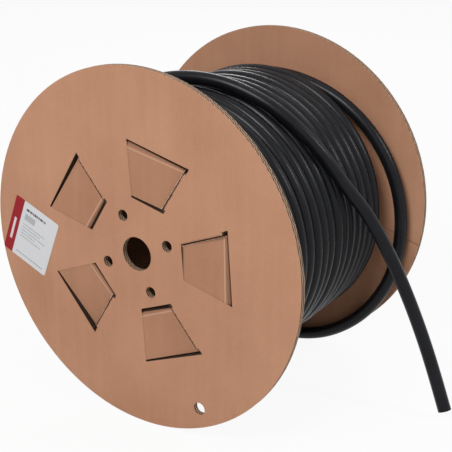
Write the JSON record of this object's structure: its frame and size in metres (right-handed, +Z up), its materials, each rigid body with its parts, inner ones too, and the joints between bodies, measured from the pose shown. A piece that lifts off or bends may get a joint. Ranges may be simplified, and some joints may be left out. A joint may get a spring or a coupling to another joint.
{
  "type": "hose reel",
  "caption": "Corrugated-board reel with round flanges, wound with black rubber hose; one loose turn and a free cut end hang from the winding.",
  "frame": {"origin": "centre of the reel, on the arbor axis, midway between the outer faces of the two flanges", "axes": "+Y along the arbor axis, towards the rear flange; +Z up, standing on the flange rims; +X to the side the free hose end hangs on"},
  "size_m": [0.6187, 0.3703, 0.508],
  "materials": {
    "board": "matt brown corrugated board",
    "hose_rubber": "matt black rubber cover",
    "label_paper": "smooth white sticker"
  },
  "bodies": {
    "root": {"front_flange": "board", "rear_flange": "board", "barrel": "board", "hose_winding": "hose_rubber", "hose_tail": "hose_rubber", "label": "label_paper"}
  },
  "joints": []
}
